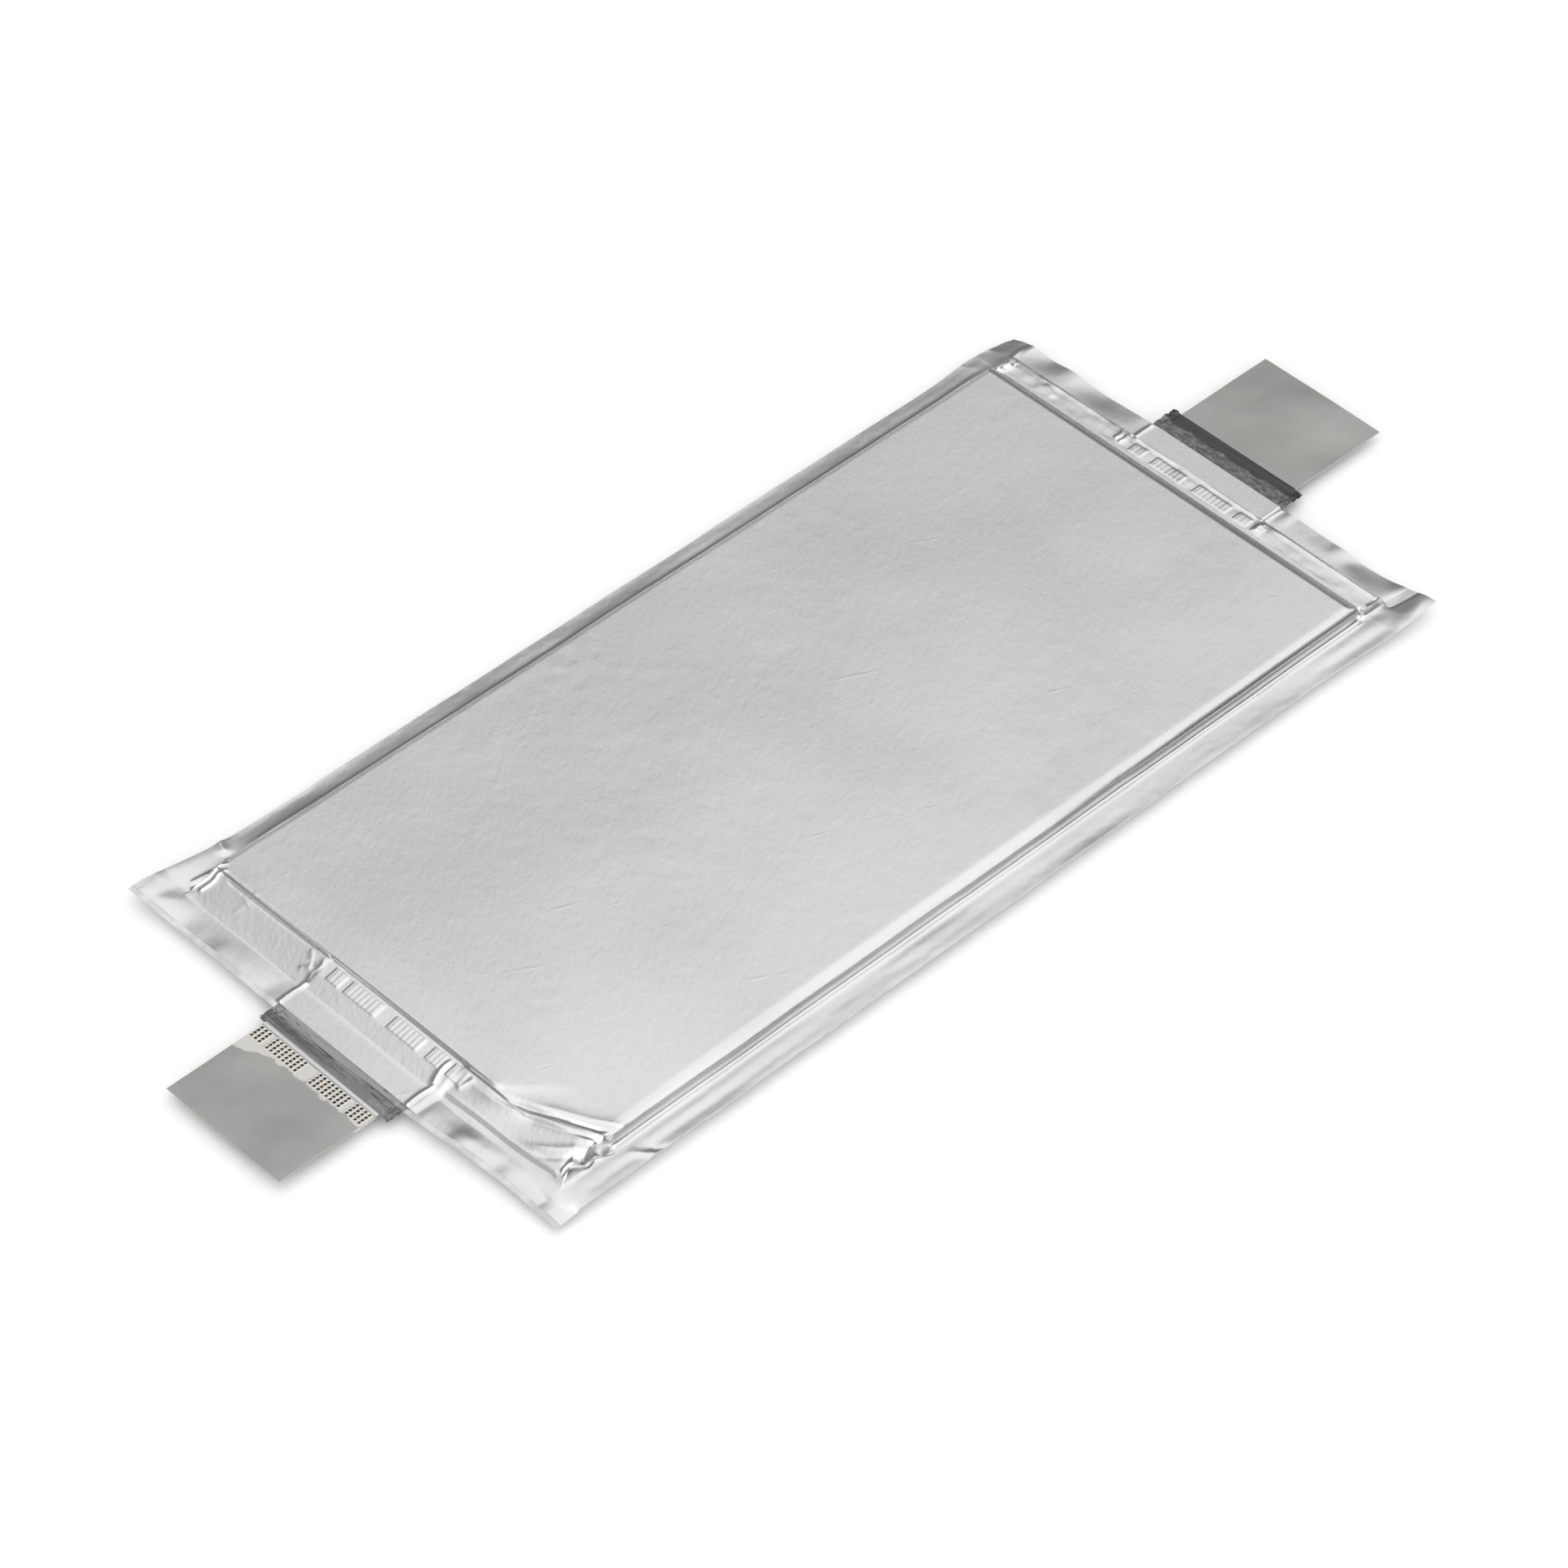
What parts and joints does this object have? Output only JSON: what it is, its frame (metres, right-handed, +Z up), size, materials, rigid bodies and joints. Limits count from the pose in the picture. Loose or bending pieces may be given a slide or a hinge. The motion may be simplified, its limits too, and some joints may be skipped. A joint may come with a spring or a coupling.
{
  "type": "lithium-ion pouch cell",
  "caption": "Flat rectangular pouch battery cell: a silvery foil laminate pouch with a sealed border all round and a flat metal tab standing out of each short end.",
  "frame": {"origin": "centre of the flat lower face of the pouch", "axes": "+Z up, through the cell's thickness; +Y along the cell, from the positive terminal to the negative one; +X across it"},
  "size_m": [0.1328, 0.3397, 0.007],
  "materials": {
    "laminate": "satin",
    "aluminium_tab": "satin",
    "nickel_plating": "satin",
    "tab_film": "satin",
    "weld_tape": "gloss",
    "stack_tape": "gloss",
    "cathode_coating": "matte",
    "anode_coating": "matte",
    "separator": "matte"
  },
  "bodies": {
    "root": {"anode_01": "anode_coating", "anode_02": "anode_coating", "anode_03": "anode_coating", "anode_04": "anode_coating", "anode_05": "anode_coating", "anode_06": "anode_coating", "anode_07": "anode_coating", "anode_08": "anode_coating", "anode_09": "anode_coating", "anode_10": "anode_coating", "anode_11": "anode_coating", "anode_12": "anode_coating", "anode_13": "anode_coating", "anode_14": "anode_coating", "anode_15": "anode_coating", "anode_16": "anode_coating", "anode_17": "anode_coating", "anode_18": "anode_coating", "anode_19": "anode_coating", "cathode_01": "cathode_coating", "cathode_02": "cathode_coating", "cathode_03": "cathode_coating", "cathode_04": "cathode_coating", "cathode_05": "cathode_coating", "cathode_06": "cathode_coating", "cathode_07": "cathode_coating", "cathode_08": "cathode_coating", "cathode_09": "cathode_coating", "cathode_10": "cathode_coating", "cathode_11": "cathode_coating", "cathode_12": "cathode_coating", "cathode_13": "cathode_coating", "cathode_14": "cathode_coating", "cathode_15": "cathode_coating", "cathode_16": "cathode_coating", "cathode_17": "cathode_coating", "cathode_18": "cathode_coating", "lower_laminate": "laminate", "negative_tab": "nickel_plating", "negative_tab_film_lower": "tab_film", "negative_tab_film_upper": "tab_film", "negative_weld_tape_lower": "weld_tape", "negative_weld_tape_upper": "weld_tape", "positive_tab": "aluminium_tab", "positive_tab_extension": "nickel_plating", "positive_tab_film_lower": "tab_film", "positive_tab_film_upper": "tab_film", "positive_weld_tape_lower": "weld_tape", "positive_weld_tape_upper": "weld_tape", "separator_end_tape": "stack_tape", "separator_ribbon": "separator", "stack_tape_left_negative": "stack_tape", "stack_tape_left_positive": "stack_tape", "stack_tape_right_negative": "stack_tape", "stack_tape_right_positive": "stack_tape", "upper_laminate": "laminate"}
  },
  "joints": []
}
